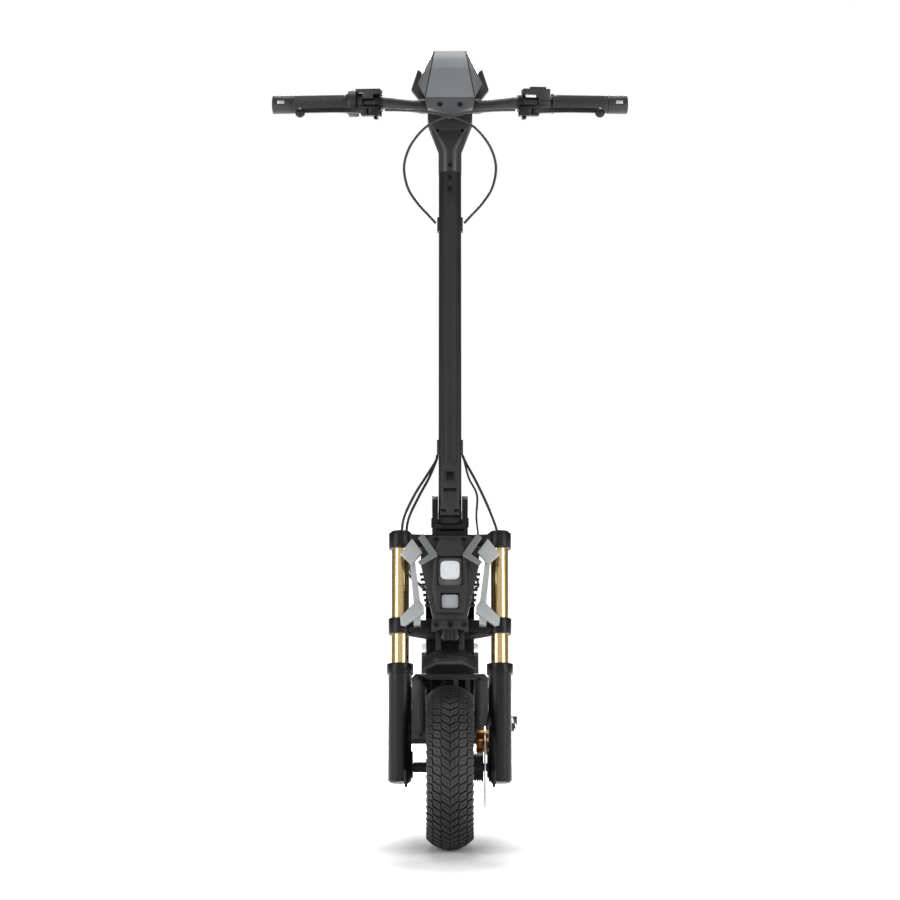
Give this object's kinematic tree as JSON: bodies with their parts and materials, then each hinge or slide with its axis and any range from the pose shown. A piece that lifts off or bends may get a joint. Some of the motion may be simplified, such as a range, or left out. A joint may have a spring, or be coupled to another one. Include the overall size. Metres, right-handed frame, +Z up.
{
  "type": "electric kick scooter",
  "caption": "Folding electric kick scooter with a twin-tube front fork, headlight unit, tall stem, flat deck and sprung hub-motor rear wheel.",
  "frame": {"origin": "on the ground at the centre of the object's footprint", "axes": "+Z up, -Y towards the front wheel, +X to the rider's left"},
  "size_m": [0.6428, 1.252, 1.3988],
  "materials": {
    "satin_black_paint": "satin",
    "black_anodised": "satin",
    "gold_anodised": "polished",
    "silver_paint": "satin",
    "black_plastic": "matte",
    "grey_plastic": "satin",
    "grip_rubber": "matte",
    "tyre_rubber": "matte",
    "cable_jacket": "satin",
    "steel": "brushed",
    "black_steel": "satin",
    "white_lens": "frosted",
    "red_lens": "gloss",
    "screen_glass": "gloss",
    "battery_wrap": "matte",
    "cast_aluminium": "cast",
    "orange_button": "gloss"
  },
  "bodies": {
    "frame": {"frame_shell": "satin_black_paint", "deck_mat": "grip_rubber", "bottom_cover": "black_plastic", "nose_grille": "black_plastic", "battery_pack": "battery_wrap", "controller": "cast_aluminium", "headset_bearings": "steel", "kick_plate": "satin_black_paint", "frame_screws": "black_steel"},
    "charge_cap": {"charge_cap": "grip_rubber"},
    "kickstand": {"kickstand": "satin_black_paint"},
    "swingarm": {"swingarm": "satin_black_paint", "rear_guard": "black_plastic", "tail_light": "red_lens", "rear_axle": "black_steel", "rear_caliper": "gold_anodised"},
    "rear_wheel": {"hub_motor": "black_anodised", "rear_tyre": "tyre_rubber", "rear_disc": "steel"},
    "shock_body": {"shock_body": "black_anodised"},
    "shock_shaft": {"shock_shaft": "steel"},
    "steering": {"lower_crown": "black_anodised", "upper_crown": "black_anodised", "stanchions": "gold_anodised", "lamp_housing": "black_plastic", "lamp_lenses": "white_lens", "lamp_chevrons": "grey_plastic", "side_blades": "silver_paint", "front_guard": "black_plastic", "fold_base": "black_anodised", "crown_bolts": "black_steel"},
    "fork_lowers": {"lower_legs": "black_anodised", "front_axle": "black_steel", "front_caliper": "gold_anodised"},
    "front_wheel": {"front_tyre": "tyre_rubber", "front_hub": "black_anodised", "front_disc": "steel"},
    "stem": {"stem_tube": "satin_black_paint", "stem_head": "satin_black_paint", "handlebar": "satin_black_paint", "grips": "grip_rubber", "end_caps": "black_plastic", "cap_lights": "silver_paint", "lever_clamps": "black_anodised", "throttle_body": "black_plastic", "switch_pod": "black_plastic", "display_shell": "black_plastic", "display_screen": "screen_glass", "windscreen": "grey_plastic", "brake_hoses": "cable_jacket", "stem_bolts": "black_steel", "lower_cables": "cable_jacket", "caliper_hose": "cable_jacket"},
    "fold_latch": {"fold_latch": "black_plastic"},
    "fold_slider": {"fold_slider": "black_plastic"},
    "right_lever": {"right_lever": "black_anodised"},
    "left_lever": {"left_lever": "black_anodised"},
    "throttle_paddle": {"throttle_paddle": "black_plastic"},
    "turn_switch": {"turn_switch": "grey_plastic"},
    "mode_button": {"mode_button": "orange_button"}
  },
  "joints": [
    {"name": "steering", "type": "hinge", "parent": "frame", "child": "steering", "pos_m": [0, -0.39984, 0.4277], "axis": [0, 0.2419, 0.9703], "range_deg": [-38, 38]},
    {"name": "fork_travel", "type": "slide", "parent": "steering", "child": "fork_lowers", "axis": [0, 0.2419, 0.9703], "range_m": [0, 0.045], "stiffness_N_per_m": 9000, "springref_m": -0.04},
    {"name": "front_wheel_spin", "type": "hinge", "parent": "fork_lowers", "child": "front_wheel", "pos_m": [0, -0.486, 0.14], "axis": [1, 0, 0], "continuous": true},
    {"name": "stem_fold", "type": "hinge", "parent": "steering", "child": "stem", "pos_m": [0, -0.35796, 0.55433], "axis": [-1, 0, 0], "range_deg": [0, 94], "deforming": ["lower_cables", "caliper_hose"]},
    {"name": "latch_open", "type": "hinge", "parent": "stem", "child": "fold_latch", "pos_m": [0, -0.39096, 0.5708], "axis": [1, 0, 0], "range_deg": [0, 75]},
    {"name": "latch_slide", "type": "slide", "parent": "fold_latch", "child": "fold_slider", "axis": [0, 0.2419, 0.9703], "range_m": [0, 0.012]},
    {"name": "left_brake_lever", "type": "hinge", "parent": "stem", "child": "left_lever", "pos_m": [0.15304, -0.20449, 1.28806], "axis": [0, 0, 1], "range_deg": [0, 14], "stiffness_Nm_per_rad": 0.6, "springref_deg": -5.73},
    {"name": "right_brake_lever", "type": "hinge", "parent": "stem", "child": "right_lever", "pos_m": [-0.15304, -0.20449, 1.28806], "axis": [0, 0, -1], "range_deg": [0, 14], "stiffness_Nm_per_rad": 0.6, "springref_deg": -5.73},
    {"name": "throttle", "type": "hinge", "parent": "stem", "child": "throttle_paddle", "pos_m": [-0.16057, -0.17707, 1.30506], "axis": [-0.989, 0.1478, 0], "range_deg": [0, 25], "stiffness_Nm_per_rad": 0.15, "springref_deg": -11.46},
    {"name": "turn_switch_press", "type": "slide", "parent": "stem", "child": "turn_switch", "axis": [0.1478, -0.989, 0], "range_m": [0, 0.002], "stiffness_N_per_m": 300, "springref_m": -0.001},
    {"name": "mode_button_press", "type": "slide", "parent": "stem", "child": "mode_button", "axis": [0.1478, -0.989, 0], "range_m": [0, 0.0015], "stiffness_N_per_m": 300, "springref_m": -0.001},
    {"name": "swingarm_pivot", "type": "hinge", "parent": "frame", "child": "swingarm", "pos_m": [0, 0.269, 0.188], "axis": [1, 0, 0], "range_deg": [0, 10], "stiffness_Nm_per_rad": 450, "springref_deg": -8.02},
    {"name": "rear_wheel_spin", "type": "hinge", "parent": "swingarm", "child": "rear_wheel", "pos_m": [0, 0.474, 0.14], "axis": [1, 0, 0], "continuous": true},
    {"name": "shock_tilt", "type": "hinge", "parent": "frame", "child": "shock_body", "pos_m": [0, 0.261, 0.268], "axis": [1, 0, 0], "range_deg": [-1, 8]},
    {"name": "shock_stroke", "type": "slide", "parent": "shock_body", "child": "shock_shaft", "axis": [0, -0.9216, 0.3881], "range_m": [-0.001, 0.016]},
    {"name": "kickstand_pivot", "type": "hinge", "parent": "frame", "child": "kickstand", "pos_m": [0.1122, -0.136, 0.179], "axis": [-1, 0, 0], "range_deg": [0, 80]},
    {"name": "charge_cap_hinge", "type": "hinge", "parent": "frame", "child": "charge_cap", "pos_m": [0.113, 0.094, 0.2095], "axis": [0, -1, 0], "range_deg": [0, 110]}
  ],
  "couplings": [
    {"joint": "shock_tilt", "follows": "swingarm_pivot", "ratio": 0.54023},
    {"joint": "shock_stroke", "follows": "swingarm_pivot", "m_per_rad": 0.07232}
  ]
}
